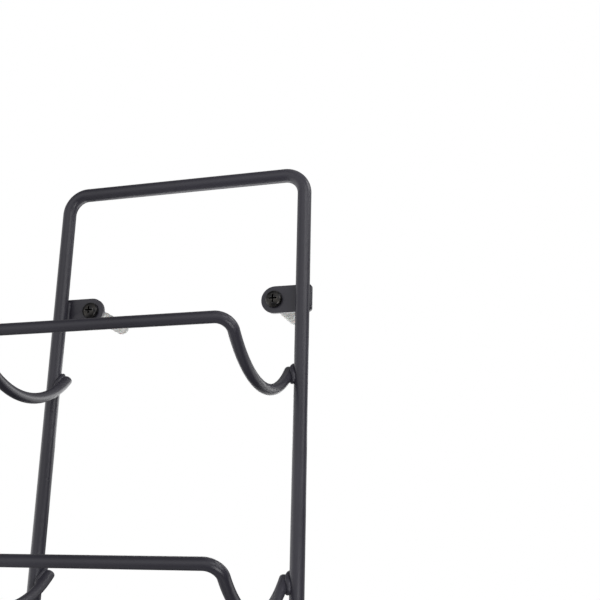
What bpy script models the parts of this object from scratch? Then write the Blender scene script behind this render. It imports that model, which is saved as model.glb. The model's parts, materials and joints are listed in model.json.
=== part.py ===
"""Wall-mounted wine rack of bent and welded steel rod.

A closed back frame of thick rod carries a column of cradles of thinner rod. Each cradle holds
one bottle, lying along the wall. Flat tabs behind the uprights take the wall screws.

Axes: +X to the right, -Y towards the person in front, +Z up. The wall is the plane Y = 0. The
origin is on the wall, midway between the two upper screws.
"""

import math

import bmesh
import bpy
from mathutils import Matrix, Vector

# The bottle that a cradle is bent for, and the air between pieces that touch
BOTTLE_D = 0.075
TOUCH = 0.0003

# Back frame: one closed rod
FRAME_ROD_D = 0.008
UPRIGHT_SPACING = 0.152
FRAME_BEND_R = 0.012
TOP_BAR_ABOVE_BOTTLE = 0.094
BOTTOM_BAR_BELOW_BOTTLE = 0.060

# Cradles: the arms curve round under the bottle, and a bar joins them in front
TIERS = 5
TIER_PITCH = 0.110
CRADLE_ROD_D = 0.006
BOTTLE_OUT = 0.043
ARM_ARC_R = 0.066
FRONT_BAR_OUT = 0.051
CRADLE_BEND_R = 0.008
ARM_TAIL = 0.0025
ROD_END_BEVEL = 0.0006

# Wall tabs: flat steel with a screw hole in its round end
TAB_T = 0.0025
TAB_LENGTH = 0.030
TAB_HEIGHT = 0.016
TAB_CORNER_R = 0.002
TAB_HOLE_PLAY = 0.0004
TAB_ABOVE_BOTTLE = 0.020

# Wall screws
SCREW_D = 0.005
SCREW_POINT = 0.006
SCREW_TIP_ROOM = 0.0038
HEAD_D = 0.0098
HEAD_H = 0.0032
HEAD_EDGE = 0.0009
RECESS_D = 0.0052
RECESS_W = 0.0011
RECESS_DEPTH = 0.0019

# Wall plugs: set below the wall's surface, so that the tabs lie flat on it
PLUG_SUNK = 0.0025
PLUG_LENGTH = 0.040
PLUG_WALL = 0.0012
PLUG_NOSE = 0.0035
PLUG_NOSE_TAPER = 0.0011
PLUG_END_WALL = 0.0015
PLUG_COLLAR = 0.0075
PLUG_RIDGE = 0.0004
PLUG_RIDGES = 5
PLUG_SLOT_W = 0.0012
PLUG_SLOT_MARGIN = 0.003

# Weld beads
SEAM_GAP = 0.0003
SEAM_WELD_T = 0.0006
SEAM_WELD_W = 0.0036
CORNER_WELD_L = 0.0140
CORNER_WELD_W = 0.0086
CORNER_WELD_T = 0.0050
CORNER_WELD_EYE = 0.0050
TAB_WELD_L = 0.0125
TAB_WELD_D = 0.0032

# Facets
FRAME_ROD_SIDES = 16
CRADLE_ROD_SIDES = 12
FRAME_BEND_STEPS = 7
CRADLE_BEND_STEPS = 6
ARM_STEPS = 15
ROUND_SIDES = 16
WELD_SIDES = 8
WELD_RINGS = 6
CUTTER_SIDES = 16
HEAD_RINGS = 4
SHARP_ANGLE = math.radians(35)
OVERRUN = 0.001

# Derived places
FRAME_R = FRAME_ROD_D / 2
CRADLE_R = CRADLE_ROD_D / 2
UPRIGHT_X = UPRIGHT_SPACING / 2
FRAME_Y = -(TAB_T + TOUCH + FRAME_R)
BOTTLE_Y = FRAME_Y - BOTTLE_OUT
ARM_X = UPRIGHT_X - FRAME_R - TOUCH - CRADLE_R
TOP_BOTTLE_Z = -TAB_ABOVE_BOTTLE
BOTTOM_BOTTLE_Z = TOP_BOTTLE_Z - (TIERS - 1) * TIER_PITCH
TOP_BAR_Z = TOP_BOTTLE_Z + TOP_BAR_ABOVE_BOTTLE
BOTTOM_BAR_Z = BOTTOM_BOTTLE_Z - BOTTOM_BAR_BELOW_BOTTLE
TAB_HOLE_X = UPRIGHT_X + FRAME_R - TAB_LENGTH + TAB_HEIGHT / 2
TAB_HOLE_D = SCREW_D + 2 * TAB_HOLE_PLAY
PLUG_BORE_D = SCREW_D + 2 * TOUCH
PLUG_D = PLUG_BORE_D + 2 * PLUG_WALL
SCREW_LENGTH = TAB_T + TOUCH + PLUG_SUNK + PLUG_LENGTH - PLUG_END_WALL - SCREW_TIP_ROOM

# Angles of an arm's arc, from its lowest point, forwards to the front bend and back to the tail
ARM_FRONT_ANGLE = math.asin(FRONT_BAR_OUT / math.hypot(ARM_ARC_R, CRADLE_BEND_R)) - math.atan2(
    CRADLE_BEND_R, ARM_ARC_R
)
ARM_TAIL_ANGLE = math.asin((BOTTLE_OUT + ARM_TAIL) / ARM_ARC_R)
ARM_WELD_ANGLE = math.asin(BOTTLE_OUT / ARM_ARC_R)
ARC_CENTRE_Z = ARM_ARC_R - BOTTLE_D / 2 - CRADLE_R

# Finishes: linear colour, roughness, metallic
POWDER_COAT = ((0.040, 0.039, 0.044), 0.45, 0.0)
BLACK_ZINC = ((0.030, 0.030, 0.032), 0.35, 1.0)
NYLON = ((0.42, 0.42, 0.40), 0.55, 0.0)


def clear_scene():
    """Remove every object that the open file holds."""
    for old in list(bpy.data.objects):
        bpy.data.objects.remove(old, do_unlink=True)


def material(name, finish):
    """A plain Principled material of one colour, roughness and metallic value."""
    colour, roughness, metallic = finish
    made = bpy.data.materials.new(name)
    made.use_nodes = True
    shader = made.node_tree.nodes["Principled BSDF"]
    shader.inputs["Base Color"].default_value = (*colour, 1)
    shader.inputs["Roughness"].default_value = roughness
    shader.inputs["Metallic"].default_value = metallic
    return made


def place(name, data, finish, location=(0, 0, 0)):
    """Put a mesh or a curve in the scene as one named piece with its own material."""
    if not data.materials:
        data.materials.append(None)
    piece = bpy.data.objects.new(name, data)
    piece.location = location
    bpy.context.collection.objects.link(piece)
    piece.material_slots[0].link = "OBJECT"
    piece.material_slots[0].material = material(name, finish)
    return piece


def helper(name, data):
    """Put a cutter or a guide in the scene, out of sight."""
    guide = bpy.data.objects.new(name, data)
    bpy.context.collection.objects.link(guide)
    guide.hide_render = True
    guide.display_type = "WIRE"
    return guide


def settled(shape):
    """The mesh that an object's modifiers give."""
    depsgraph = bpy.context.evaluated_depsgraph_get()
    depsgraph.update()
    return bpy.data.meshes.new_from_object(shape.evaluated_get(depsgraph), depsgraph=depsgraph)


def carve(body, cutters, operation="DIFFERENCE"):
    """Cut the cutters from a mesh, or join them to it, and return the new mesh."""
    block = helper("block", body)
    guides = [helper("cutter", cutter) for cutter in cutters]
    for guide in guides:
        cut = block.modifiers.new("cut", "BOOLEAN")
        cut.operation = operation
        cut.solver = "EXACT"
        cut.object = guide
    mesh = settled(block)
    for used in [block, *guides]:
        bpy.data.objects.remove(used, do_unlink=True)
    mesh.shade_smooth()
    mesh.set_sharp_from_angle(angle=SHARP_ANGLE)
    return mesh


def mesh_from(made, name):
    """Close a bmesh with its faces pointing out and turn it into a mesh."""
    bmesh.ops.recalc_face_normals(made, faces=made.faces)
    mesh = bpy.data.meshes.new(name)
    made.to_mesh(mesh)
    made.free()
    mesh.shade_smooth()
    mesh.set_sharp_from_angle(angle=SHARP_ANGLE)
    return mesh


def bevelled(points, radius, bevel):
    """A path with a point added just inside each end, and the radius share at every point."""
    ends = (points[0], points[-1])
    inside = [end + bevel * (near - end).normalized() for end, near in zip(ends, (points[1], points[-2]))]
    path = [ends[0], inside[0], *points[1:-1], inside[1], ends[1]]
    end_share = 1 - bevel / radius
    return path, [end_share, *(1 for _ in path[1:-1]), end_share]


def rod(name, points, diameter, sides, bevel=0):
    """A round rod along a path, as a curve with a round section and closed ends."""
    radius_shares = [1] * len(points)
    if bevel:
        points, radius_shares = bevelled(points, diameter / 2, bevel)
    curve = bpy.data.curves.new(name, "CURVE")
    curve.dimensions = "3D"
    curve.bevel_depth = diameter / 2
    curve.bevel_resolution = sides // 2 - 2
    curve.use_fill_caps = True
    spline = curve.splines.new("POLY")
    spline.points.add(len(points) - 1)
    for target, point, share in zip(spline.points, points, radius_shares):
        target.co = (*point, 1)
        target.radius = share
    return curve


def grown_rod(points, diameter):
    """The space that a rod and its touching gap take, as a mesh to cut with."""
    guide = helper("guide", rod("guide", points, diameter + 2 * TOUCH, CUTTER_SIDES))
    mesh = settled(guide)
    bpy.data.objects.remove(guide, do_unlink=True)
    return mesh


def arc(centre, first, second, radius, start, end, steps):
    """Points on a round bend: it starts along `first` and turns towards `second`."""
    turn = (end - start) / steps
    angles = [start + turn * step for step in range(steps + 1)]
    return [centre + radius * (math.cos(a) * first + math.sin(a) * second) for a in angles]


def revolved(name, profile, sides):
    """A solid turned about Y from (radius, y) pairs that start and end on the axis."""
    made = bmesh.new()
    rows = [made.verts.new((radius, y, 0)) for radius, y in profile]
    edges = [made.edges.new(pair) for pair in zip(rows, rows[1:])]
    bmesh.ops.spin(
        made,
        geom=rows + edges,
        axis=(0, 1, 0),
        cent=(0, 0, 0),
        angle=math.tau,
        steps=sides,
        use_merge=True,
    )
    bmesh.ops.remove_doubles(made, verts=made.verts, dist=TOUCH / 100)
    return mesh_from(made, name)


def box(low, high):
    """A block between two corners."""
    low, high = Vector(low), Vector(high)
    made = bmesh.new()
    bmesh.ops.create_cube(made, size=1)
    size = Matrix.Diagonal((*(high - low), 1))
    bmesh.ops.transform(made, matrix=Matrix.Translation((low + high) / 2) @ size, verts=made.verts)
    return mesh_from(made, "box")


def frame_path():
    """The frame rod's axis, once round from the seam in the lower bar."""
    inner_x = UPRIGHT_X - FRAME_BEND_R
    right, up = Vector((1, 0, 0)), Vector((0, 0, 1))
    corners = [
        (inner_x, BOTTOM_BAR_Z + FRAME_BEND_R),
        (inner_x, TOP_BAR_Z - FRAME_BEND_R),
        (-inner_x, TOP_BAR_Z - FRAME_BEND_R),
        (-inner_x, BOTTOM_BAR_Z + FRAME_BEND_R),
    ]
    points = [Vector((SEAM_GAP / 2, FRAME_Y, BOTTOM_BAR_Z))]
    for number, (x, z) in enumerate(corners):
        start = math.pi / 2 * (number - 1)
        centre = Vector((x, FRAME_Y, z))
        points += arc(centre, right, up, FRAME_BEND_R, start, start + math.pi / 2, FRAME_BEND_STEPS)
    points.append(Vector((-SEAM_GAP / 2, FRAME_Y, BOTTOM_BAR_Z)))
    return points


def arm_point(angle):
    """A point on the right arm's axis, by its angle from the arc's lowest point."""
    y = BOTTLE_Y - ARM_ARC_R * math.sin(angle)
    return Vector((ARM_X, y, ARC_CENTRE_Z - ARM_ARC_R * math.cos(angle)))


def arm_path():
    """The right arm's axis, from its tail behind the upright to the front bend."""
    turn = (ARM_FRONT_ANGLE + ARM_TAIL_ANGLE) / ARM_STEPS
    return [arm_point(turn * step - ARM_TAIL_ANGLE) for step in range(ARM_STEPS + 1)]


def cradle_path():
    """A cradle rod's axis from tail to tail, with the bottle's axis at Z = 0."""
    arm = arm_path()
    sideways = Vector((1, 0, 0))
    forwards = Vector((0, -math.cos(ARM_FRONT_ANGLE), math.sin(ARM_FRONT_ANGLE)))
    centre = arm[-1] - CRADLE_BEND_R * sideways
    bend = arc(centre, sideways, forwards, CRADLE_BEND_R, 0, math.pi / 2, CRADLE_BEND_STEPS)
    half = arm[:-1] + bend
    mirrored = [Vector((-point.x, point.y, point.z)) for point in reversed(half)]
    return half + mirrored


def upright_stub(low, high):
    """A grown length of the right upright, between two heights."""
    ends = [Vector((UPRIGHT_X, FRAME_Y, low)), Vector((UPRIGHT_X, FRAME_Y, high))]
    return grown_rod(ends, FRAME_ROD_D)


def blob(size, turned, centre):
    """An ellipsoid of the given full sizes, turned and moved to its place."""
    made = bmesh.new()
    bmesh.ops.create_uvsphere(made, u_segments=WELD_SIDES, v_segments=WELD_RINGS, radius=1)
    scale = Matrix.Diagonal((size[0] / 2, size[1] / 2, size[2] / 2, 1))
    bmesh.ops.transform(made, matrix=Matrix.Translation(centre) @ turned @ scale, verts=made.verts)
    return mesh_from(made, "blob")


def corner_weld():
    """The bead all round the spot where the right arm crosses the upright.

    Seen from the side, arm and upright cross like an X. The bead is longest across the narrow
    corners of the X, and has an eye in the middle, where the rods press on each other.
    """
    contact = arm_point(-ARM_WELD_ANGLE)
    contact.x = UPRIGHT_X - FRAME_R - TOUCH / 2
    half_angle = (math.pi / 2 - ARM_WELD_ANGLE) / 2
    turned = Matrix.Rotation(-half_angle, 4, "X")
    bead = blob((CORNER_WELD_T, CORNER_WELD_W, CORNER_WELD_L), turned, contact)
    eye = blob((CORNER_WELD_T, CORNER_WELD_EYE / 2, CORNER_WELD_EYE), turned, contact)
    low, high = contact.z - CORNER_WELD_L, contact.z + CORNER_WELD_L
    return carve(bead, [upright_stub(low, high), grown_rod(arm_path(), CRADLE_ROD_D), eye])


def mirrored(mesh):
    """The same mesh on the other side of the rack."""
    twin = mesh.copy()
    twin.transform(Matrix.Diagonal((-1, 1, 1, 1)))
    twin.flip_normals()
    return twin


def tab_mesh():
    """The right tab: a square end behind the upright, a round one with a hole to the middle."""
    outer_x = UPRIGHT_X + FRAME_R
    round_r = TAB_HEIGHT / 2
    right, up = Vector((1, 0, 0)), Vector((0, 0, 1))
    inset = round_r - TAB_CORNER_R
    outline = arc(
        Vector((TAB_HOLE_X, 0, 0)), right, up, round_r, math.pi / 2, math.pi * 3 / 2, ROUND_SIDES // 2
    )
    for start, z in ((-math.pi / 2, -inset), (0, inset)):
        centre = Vector((outer_x - TAB_CORNER_R, 0, z))
        outline += arc(centre, right, up, TAB_CORNER_R, start, start + math.pi / 2, ROUND_SIDES // 4)
    made = bmesh.new()
    face = made.faces.new([made.verts.new(point) for point in outline])
    grown = bmesh.ops.extrude_face_region(made, geom=[face])
    moved = [part for part in grown["geom"] if isinstance(part, bmesh.types.BMVert)]
    bmesh.ops.translate(made, vec=(0, -TAB_T, 0), verts=moved)
    hole = revolved("hole", [(0, -TAB_T - OVERRUN), (TAB_HOLE_D / 2, -TAB_T - OVERRUN),
                             (TAB_HOLE_D / 2, OVERRUN), (0, OVERRUN)], ROUND_SIDES)
    hole.transform(Matrix.Translation((TAB_HOLE_X, 0, 0)))
    return carve(mesh_from(made, "tab"), [hole])


def tab_weld(flank):
    """A bead down one groove between the right upright and its tab: -1 inner, 1 outer."""
    centre = Vector((UPRIGHT_X + flank * (FRAME_R - TAB_WELD_D / 4), -TAB_T - TAB_WELD_D * 3 / 8, 0))
    bead = blob((TAB_WELD_D, TAB_WELD_D, TAB_WELD_L), Matrix.Identity(4), centre)
    plate = box((0, -TAB_T - TOUCH, -TAB_HEIGHT), (UPRIGHT_SPACING, OVERRUN, TAB_HEIGHT))
    return carve(bead, [upright_stub(-TAB_HEIGHT, TAB_HEIGHT), plate])


def seam_weld():
    """A ring round the meeting ends of the frame rod, level with the lower bar."""
    inner = FRAME_R + TOUCH
    outer = inner + SEAM_WELD_T
    half = SEAM_WELD_W / 2
    made = bmesh.new()
    profile = [(inner, -half), (outer, -half / 2), (outer, half / 2), (inner, half)]
    rows = [made.verts.new((x, radius, 0)) for radius, x in profile]
    edges = [made.edges.new(pair) for pair in zip(rows, rows[1:] + rows[:1])]
    bmesh.ops.spin(
        made,
        geom=rows + edges,
        axis=(1, 0, 0),
        cent=(0, 0, 0),
        angle=math.tau,
        steps=FRAME_ROD_SIDES,
        use_merge=True,
    )
    return mesh_from(made, "seam weld")


def screw_mesh():
    """A pan head screw along +Y with its head's seat at Y = 0 and a cross recess."""
    shank = SCREW_D / 2
    head = HEAD_D / 2
    angles = [math.pi / 2 * ring / HEAD_RINGS for ring in range(HEAD_RINGS)]
    dome = [(head * math.cos(a), -HEAD_EDGE - (HEAD_H - HEAD_EDGE) * math.sin(a)) for a in angles]
    profile = [(0, -HEAD_H), *reversed(dome), (head, 0), (shank, 0)]
    profile += [(shank, SCREW_LENGTH - SCREW_POINT), (0, SCREW_LENGTH)]
    body = revolved("screw", profile, ROUND_SIDES)
    reach, width = RECESS_D / 2, RECESS_W / 2
    low, high = -HEAD_H - OVERRUN, RECESS_DEPTH - HEAD_H
    slots = [box((-reach, low, -width), (reach, high, width)), box((-width, low, -reach), (width, high, reach))]
    return carve(body, slots)


def plug_mesh():
    """A wall plug along +Y: collar, ridges, nose, a blind bore and an expansion slot."""
    outer, bore = PLUG_D / 2, PLUG_BORE_D / 2
    ridged = PLUG_LENGTH - PLUG_COLLAR - PLUG_NOSE
    step = ridged / PLUG_RIDGES
    profile = [(0, 0), (outer, 0), (outer, PLUG_COLLAR)]
    for number in range(PLUG_RIDGES):
        y = PLUG_COLLAR + number * step
        profile += [(outer - PLUG_RIDGE, y + step / 8), (outer, y + step)]
    profile += [(outer - PLUG_NOSE_TAPER, PLUG_LENGTH), (0, PLUG_LENGTH)]
    body = revolved("plug", profile, ROUND_SIDES)
    depth = PLUG_LENGTH - PLUG_END_WALL
    hole = revolved("bore", [(0, -OVERRUN), (bore, -OVERRUN), (bore, depth), (0, depth)], ROUND_SIDES)
    slot = box(
        (-outer - OVERRUN, PLUG_COLLAR + PLUG_SLOT_MARGIN, -PLUG_SLOT_W / 2),
        (outer + OVERRUN, PLUG_LENGTH - PLUG_NOSE - PLUG_SLOT_MARGIN, PLUG_SLOT_W / 2),
    )
    return carve(body, [hole, slot])


TAB_ROWS = {"upper": 0.0, "lower": BOTTOM_BOTTLE_Z - TOP_BOTTLE_Z}
SIDES = {"left": -1, "right": 1}
FLANKS = {"inner": -1, "outer": 1}


def build_frame():
    """The frame rod and the weld that closes it."""
    place("back_frame", rod("back_frame", frame_path(), FRAME_ROD_D, FRAME_ROD_SIDES), POWDER_COAT)
    place("frame_seam_weld", seam_weld(), POWDER_COAT, (0, FRAME_Y, BOTTOM_BAR_Z))


def build_cradles():
    """One cradle a tier, counted from the top, and the two welds that hold it."""
    cradle = rod("cradle", cradle_path(), CRADLE_ROD_D, CRADLE_ROD_SIDES, ROD_END_BEVEL)
    weld = corner_weld()
    welds = {"left": mirrored(weld), "right": weld}
    for tier in range(TIERS):
        seat = (0, 0, TOP_BOTTLE_Z - tier * TIER_PITCH)
        place(f"cradle_{tier + 1}", cradle, POWDER_COAT, seat)
        for side, mesh in welds.items():
            place(f"cradle_{tier + 1}_weld_{side}", mesh, POWDER_COAT, seat)


def build_tabs():
    """The wall tabs and the two welds of each."""
    tab = tab_mesh()
    tabs = {"left": mirrored(tab), "right": tab}
    for flank_name, flank in FLANKS.items():
        weld = tab_weld(flank)
        welds = {"left": mirrored(weld), "right": weld}
        for row, z in TAB_ROWS.items():
            for side, mesh in welds.items():
                place(f"wall_tab_{row}_{side}_weld_{flank_name}", mesh, POWDER_COAT, (0, 0, z))
    for row, z in TAB_ROWS.items():
        for side, mesh in tabs.items():
            place(f"wall_tab_{row}_{side}", mesh, POWDER_COAT, (0, 0, z))


def build_fixings():
    """The screws in the tabs' holes and the plugs behind them."""
    screw = screw_mesh()
    plug = plug_mesh()
    for row, z in TAB_ROWS.items():
        for side_name, side in SIDES.items():
            x = side * TAB_HOLE_X
            place(f"wall_screw_{row}_{side_name}", screw, BLACK_ZINC, (x, -TAB_T - TOUCH, z))
            place(f"wall_plug_{row}_{side_name}", plug, NYLON, (x, PLUG_SUNK, z))


def main():
    clear_scene()
    build_frame()
    build_cradles()
    build_tabs()
    build_fixings()


main()
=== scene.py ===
"""Looks of a wall-mounted wine rack of bent and welded steel rod.

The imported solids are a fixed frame. Finer pieces stand for them in the same places: swept rods,
rippled weld beads, bevelled wall tabs, threaded screws and ribbed wall plugs. Sizes are in metres
and repeat those of the solids.

Axes: +X to the right, -Y towards the person in front, +Z up. The wall is the plane Y = 0.
"""

import json
import logging
import math
from collections.abc import Iterable, Sequence
from dataclasses import dataclass, field
from enum import Enum
from typing import Any

import bmesh
import bpy
from mathutils import Matrix, Vector

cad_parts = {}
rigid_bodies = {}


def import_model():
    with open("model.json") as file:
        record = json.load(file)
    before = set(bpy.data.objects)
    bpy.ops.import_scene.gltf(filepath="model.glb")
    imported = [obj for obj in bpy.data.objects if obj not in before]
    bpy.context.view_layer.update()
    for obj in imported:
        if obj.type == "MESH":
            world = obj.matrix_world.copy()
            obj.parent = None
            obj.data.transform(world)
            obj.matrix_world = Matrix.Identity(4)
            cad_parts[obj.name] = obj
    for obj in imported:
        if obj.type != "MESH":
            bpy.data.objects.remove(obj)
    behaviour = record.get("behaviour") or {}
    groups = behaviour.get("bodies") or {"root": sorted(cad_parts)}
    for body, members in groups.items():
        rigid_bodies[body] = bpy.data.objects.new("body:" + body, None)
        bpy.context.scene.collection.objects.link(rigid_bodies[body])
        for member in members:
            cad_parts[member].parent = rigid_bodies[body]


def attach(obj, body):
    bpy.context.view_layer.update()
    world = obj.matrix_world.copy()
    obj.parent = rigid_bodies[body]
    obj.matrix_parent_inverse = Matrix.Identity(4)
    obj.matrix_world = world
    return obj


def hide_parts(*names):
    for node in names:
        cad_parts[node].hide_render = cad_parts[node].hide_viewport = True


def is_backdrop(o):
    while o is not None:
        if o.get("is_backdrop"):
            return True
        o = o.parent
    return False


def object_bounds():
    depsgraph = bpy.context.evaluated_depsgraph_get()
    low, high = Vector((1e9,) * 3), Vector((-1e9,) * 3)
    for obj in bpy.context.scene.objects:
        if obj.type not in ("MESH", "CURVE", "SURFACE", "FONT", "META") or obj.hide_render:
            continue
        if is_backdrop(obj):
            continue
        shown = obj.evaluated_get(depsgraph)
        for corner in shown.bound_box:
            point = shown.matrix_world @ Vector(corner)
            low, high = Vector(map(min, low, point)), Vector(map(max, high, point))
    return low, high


LOG = logging.getLogger("wine_rack")
BODY = "root"
TINY = 1e-6
SHARP_ANGLE = math.radians(35)
TOP_BAR_MIDDLE = (0, -0.007, 0.074)

# A colour, or a place in metres.
Triple = tuple[float, float, float]
# The two ends of a range, a width and a height, or a point of a turned outline.
Pair = tuple[float, float]


class Named(Enum):
    """A choice whose name is a part of the names of pieces."""

    @property
    def word(self) -> str:
        """The name in lower case."""
        return self.name.lower()


class Side(Named):
    """A side of the rack, by its sign along X."""

    LEFT = -1
    RIGHT = 1


class Row(Named):
    """A row of wall tabs, by the number of its tier from the top."""

    UPPER = 0
    LOWER = 4


class Flank(Named):
    """The groove on one side of an upright, towards the middle of the rack or away from it."""

    INNER = -1
    OUTER = 1


class Slot(Enum):
    """The material slots that the pieces take their finish from."""

    RODS = "powder_coat"
    SCREWS = "black_zinc"
    PLUGS = "nylon"


@dataclass(frozen=True)
class RackSizes:
    """Sizes and places that several sub-assemblies share.

    A berth is the round space that one tier is bent for, lying along X.
    """

    berth_d: float = 0.075
    touch: float = 0.0003
    frame_rod_d: float = 0.008
    cradle_rod_d: float = 0.006
    upright_spacing: float = 0.152
    tiers: int = 5
    tier_pitch: float = 0.110
    berth_out: float = 0.043
    arm_arc_r: float = 0.066
    tab_t: float = 0.0025
    tab_length: float = 0.030
    tab_height: float = 0.016
    tab_above_berth: float = 0.020
    screw_d: float = 0.005

    @property
    def upright_x(self) -> float:
        """Distance of an upright's axis from the middle."""
        return self.upright_spacing / 2

    @property
    def frame_y(self) -> float:
        """The plane of the frame rod's axis."""
        return -(self.tab_t + self.touch + self.frame_rod_d / 2)

    @property
    def berth_y(self) -> float:
        """The plane of the berths' axes."""
        return self.frame_y - self.berth_out

    @property
    def arm_x(self) -> float:
        """Distance of an arm's axis from the middle."""
        return self.upright_x - self.frame_rod_d / 2 - self.touch - self.cradle_rod_d / 2

    @property
    def arc_centre_z(self) -> float:
        """Height of an arm's arc centre over its berth's axis."""
        return self.arm_arc_r - self.berth_d / 2 - self.cradle_rod_d / 2

    @property
    def hole_x(self) -> float:
        """Distance of a tab's screw hole from the middle."""
        return self.upright_x + self.frame_rod_d / 2 - self.tab_length + self.tab_height / 2

    def berth_z(self, tier: int) -> float:
        """Height of the axis of a tier's berth, with tiers counted from 0 at the top."""
        return -self.tab_above_berth - tier * self.tier_pitch

    def tab_z(self, row: Row) -> float:
        """Height of a row of tabs."""
        return self.berth_z(row.value) + self.tab_above_berth

    def arm_point(self, angle: float, tier: int) -> Vector:
        """A point on a right arm's axis.

        Args:
            angle: turn from the arc's lowest point towards the front.
            tier: the cradle's tier.

        Returns:
            The point in the rack's frame.
        """
        z = self.berth_z(tier) + self.arc_centre_z - self.arm_arc_r * math.cos(angle)
        return Vector((self.arm_x, self.berth_y - self.arm_arc_r * math.sin(angle), z))


class Wire:
    """An output socket that stands in Python maths: each operator adds its Math node."""

    def __init__(self, bench: "Bench", socket: bpy.types.NodeSocket) -> None:
        """Keep a socket together with the bench that its node is on."""
        self.bench = bench
        self.socket = socket

    def __add__(self, other: "Wire | float") -> "Wire":
        """Add."""
        return self.bench.maths("ADD", self, other)

    def __radd__(self, other: float) -> "Wire":
        """Add to a number."""
        return self.bench.maths("ADD", other, self)

    def __sub__(self, other: "Wire | float") -> "Wire":
        """Subtract."""
        return self.bench.maths("SUBTRACT", self, other)

    def __rsub__(self, other: float) -> "Wire":
        """Subtract from a number."""
        return self.bench.maths("SUBTRACT", other, self)

    def __mul__(self, other: "Wire | float") -> "Wire":
        """Multiply."""
        return self.bench.maths("MULTIPLY", self, other)

    def __rmul__(self, other: float) -> "Wire":
        """Multiply a number."""
        return self.bench.maths("MULTIPLY", other, self)

    def __truediv__(self, other: "Wire | float") -> "Wire":
        """Divide."""
        return self.bench.maths("DIVIDE", self, other)

    def __rtruediv__(self, other: float) -> "Wire":
        """Divide a number."""
        return self.bench.maths("DIVIDE", other, self)

    def __pow__(self, other: "Wire | float") -> "Wire":
        """Raise to a power."""
        return self.bench.maths("POWER", self, other)

    def at_least(self, other: "Wire | float") -> "Wire":
        """The larger of two values."""
        return self.bench.maths("MAXIMUM", self, other)

    def at_most(self, other: "Wire | float") -> "Wire":
        """The smaller of two values."""
        return self.bench.maths("MINIMUM", self, other)

    def unsigned(self) -> "Wire":
        """The value without its sign."""
        return self.bench.maths("ABSOLUTE", self)

    def root(self) -> "Wire":
        """Square root."""
        return self.bench.maths("SQRT", self)

    def sine(self) -> "Wire":
        """Sine of an angle."""
        return self.bench.maths("SINE", self)

    def cosine(self) -> "Wire":
        """Cosine of an angle."""
        return self.bench.maths("COSINE", self)

    def exponential(self) -> "Wire":
        """The constant e to the power of the value."""
        return self.bench.maths("EXPONENT", self)

    def fraction(self) -> "Wire":
        """The part after the decimal point."""
        return self.bench.maths("FRACT", self)

    def swing(self, depth: float) -> "Wire":
        """How far a noise is from its middle of one half, times a depth."""
        return (self - 0.5) * depth

    def rise(self, low: "Wire | float", high: "Wire | float") -> "Wire":
        """Climb smoothly.

        Args:
            low: where the climb starts, at 0.
            high: where it ends, at 1.

        Returns:
            The height that the value has reached.
        """
        settings = {"interpolation_type": "SMOOTHSTEP"}
        inputs = {"Value": self, "From Min": low, "From Max": high}
        return self.bench.wire("ShaderNodeMapRange", settings, inputs)


class Bench:
    """A node tree in the making."""

    def __init__(self, tree: bpy.types.NodeTree) -> None:
        """Take the tree that the nodes go into."""
        self.tree = tree

    def add(
        self,
        kind: str,
        settings: dict[str, Any] | None = None,
        inputs: dict[str | int, Any] | None = None,
    ) -> bpy.types.Node:
        """Add one node.

        Args:
            kind: the node's type.
            settings: its own properties.
            inputs: a value, a wire or a list of wires for each input, by name or number.

        Returns:
            The node.
        """
        node = self.tree.nodes.new(kind)
        for name, value in (settings or {}).items():
            setattr(node, name, value)
        for key, value in (inputs or {}).items():
            numbered = isinstance(key, int)
            self.feed(node.inputs[key] if numbered else self._open(node.inputs, key), value)
        return node

    def feed(self, socket: bpy.types.NodeSocket, value: Any) -> None:
        """Give an input its value or its wires.

        Args:
            socket: the input.
            value: a value, a wire or a list of wires.
        """
        for single in value if isinstance(value, list) else [value]:
            if isinstance(single, Wire):
                self.tree.links.new(single.socket, socket)
            else:
                socket.default_value = single

    def wire(
        self,
        kind: str,
        settings: dict[str, Any] | None = None,
        inputs: dict[str | int, Any] | None = None,
        output: str | None = None,
    ) -> Wire:
        """Add one node and take an output of it.

        Args:
            kind: the node's type.
            settings: its own properties.
            inputs: what its inputs get.
            output: the output's name, or None for the first that is in use.

        Returns:
            The output as a wire.
        """
        node = self.add(kind, settings, inputs)
        return Wire(self, self._open(node.outputs, output))

    def maths(self, operation: str, *terms: Wire | float) -> Wire:
        """One Math node on one or two terms."""
        return self.wire("ShaderNodeMath", {"operation": operation}, dict(enumerate(terms)))

    def join(self, x: Wire | float, y: Wire | float, z: Wire | float) -> Wire:
        """A vector of three values."""
        return self.wire("ShaderNodeCombineXYZ", None, {"X": x, "Y": y, "Z": z})

    def split(self, vector: Wire) -> list[Wire]:
        """The three values of a vector."""
        node = self.add("ShaderNodeSeparateXYZ", None, {"Vector": vector})
        return [Wire(self, socket) for socket in node.outputs]

    def noise(self, vector: Wire, grain: float, detail: float, seed: Wire | float) -> Wire:
        """Soft noise in grains of a real size.

        Args:
            vector: where it is read.
            grain: the size of one grain.
            detail: how many finer layers it has.
            seed: which noise it is.

        Returns:
            Values round 0.5.
        """
        inputs = {"Vector": vector, "W": seed, "Scale": 1 / grain, "Detail": detail}
        return self.wire("ShaderNodeTexNoise", {"noise_dimensions": "4D"}, inputs)

    @staticmethod
    def _open(sockets: Iterable[bpy.types.NodeSocket], name: str | None) -> bpy.types.NodeSocket:
        """The first socket in use, of that name if one is given."""
        return next(s for s in sockets if s.enabled and name in (None, s.name))


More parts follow.
